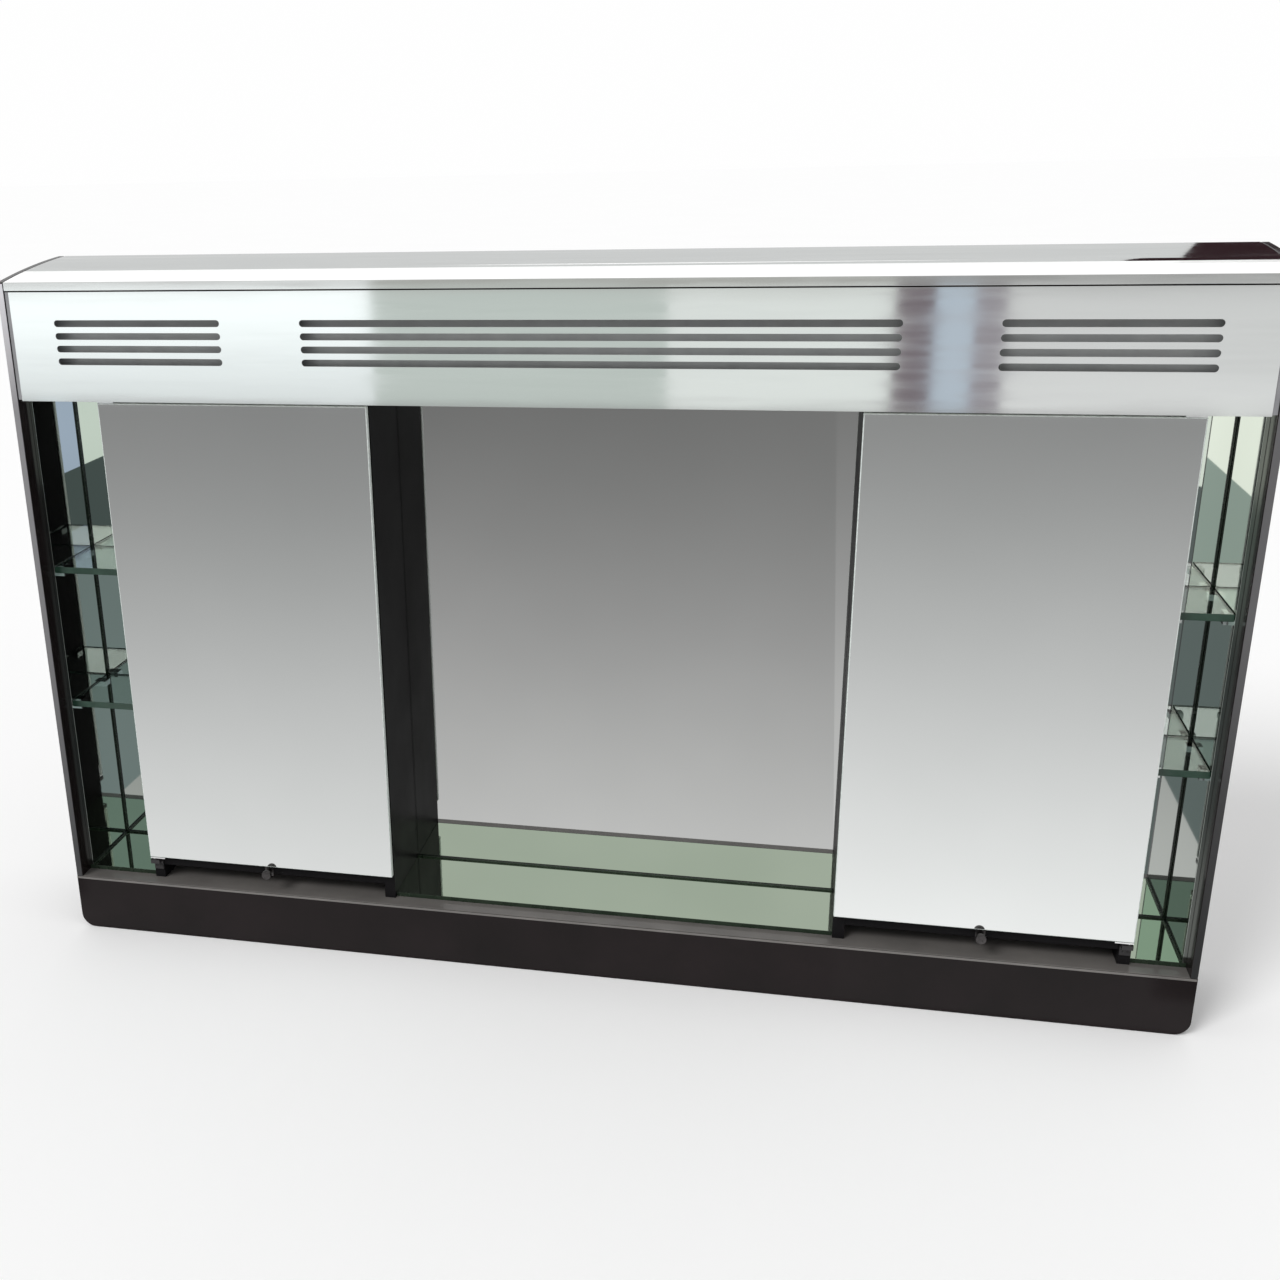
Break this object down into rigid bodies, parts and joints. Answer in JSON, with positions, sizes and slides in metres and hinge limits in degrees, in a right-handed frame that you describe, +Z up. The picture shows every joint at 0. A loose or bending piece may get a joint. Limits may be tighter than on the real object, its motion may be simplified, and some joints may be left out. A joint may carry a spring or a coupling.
{
  "type": "mirror cabinet",
  "caption": "Wide wall-hung bathroom cabinet lined with mirror, with a slotted polished lamp hood, hinged mirror doors and open shelf niches at both ends.",
  "frame": {"origin": "middle of the overall box at the level of the underside, knobs included", "axes": "+X along the width to the right as seen from the front, +Y from the front towards the wall, +Z up"},
  "size_m": [1, 0.114, 0.625],
  "materials": {
    "case_lacquer": "high-gloss dark brown lacquer",
    "box_lacquer": "high-gloss black lacquer",
    "inner_board": "plain dark board",
    "mirror_glass": "silvered float glass with a faint green tint",
    "polished_steel": "mirror-polished sheet",
    "white_steel": "white paint",
    "grey_steel": "grey paint",
    "opal_plastic": "opal white",
    "tube_glass": "white-coated glass tube",
    "zinc_steel": "zinc plated",
    "white_plastic": "moulded",
    "shelf_glass": "clear float glass with green edges",
    "bright_metal": "bright plated"
  },
  "bodies": {
    "case": {"left_side_panel": "case_lacquer", "right_side_panel": "case_lacquer", "base_board": "case_lacquer", "bottom_panel": "case_lacquer", "floor_board": "box_lacquer", "back_board": "inner_board", "back_mirror": "mirror_glass", "floor_mirror": "mirror_glass", "left_side_mirror": "mirror_glass", "right_side_mirror": "mirror_glass", "top_cover": "polished_steel", "cover_cleats": "inner_board", "top_rail": "inner_board", "hood_panel": "polished_steel", "slot_baffle": "grey_steel", "hood_floor": "white_steel", "diffuser": "opal_plastic", "lamp_tray": "white_steel", "left_lamp_holder": "white_plastic", "right_lamp_holder": "white_plastic", "lamp_tube": "tube_glass", "ballast": "zinc_steel", "starter": "white_plastic", "terminal_block": "white_plastic", "hang_plates": "zinc_steel", "left_inner_flank": "box_lacquer", "left_outer_flank": "box_lacquer", "left_box_floor": "box_lacquer", "left_box_top": "box_lacquer", "left_box_back": "box_lacquer", "left_low_shelf": "shelf_glass", "left_high_shelf": "shelf_glass", "left_shelf_pegs": "bright_metal", "left_catch": "white_plastic", "left_pivot": "zinc_steel", "right_inner_flank": "box_lacquer", "right_outer_flank": "box_lacquer", "right_box_floor": "box_lacquer", "right_box_top": "box_lacquer", "right_box_back": "box_lacquer", "right_low_shelf": "shelf_glass", "right_high_shelf": "shelf_glass", "right_shelf_pegs": "bright_metal", "right_catch": "white_plastic", "right_pivot": "zinc_steel", "left_low_niche_shelf": "shelf_glass", "left_high_niche_shelf": "shelf_glass", "right_low_niche_shelf": "shelf_glass", "right_high_niche_shelf": "shelf_glass", "niche_brackets": "bright_metal"},
    "left_door": {"left_door_mirror": "mirror_glass", "left_top_clip": "bright_metal", "left_bottom_clip": "bright_metal", "left_knob": "bright_metal", "left_strike": "zinc_steel"},
    "right_door": {"right_door_mirror": "mirror_glass", "right_top_clip": "bright_metal", "right_bottom_clip": "bright_metal", "right_knob": "bright_metal", "right_strike": "zinc_steel"}
  },
  "joints": [
    {"name": "left_door_hinge", "type": "hinge", "parent": "case", "child": "left_door", "pos_m": [-0.4195, -0.0455, 0.295], "axis": [0, 0, -1], "range_deg": [0, 105]},
    {"name": "right_door_hinge", "type": "hinge", "parent": "case", "child": "right_door", "pos_m": [0.4465, -0.0455, 0.295], "axis": [0, 0, 1], "range_deg": [0, 105]}
  ]
}
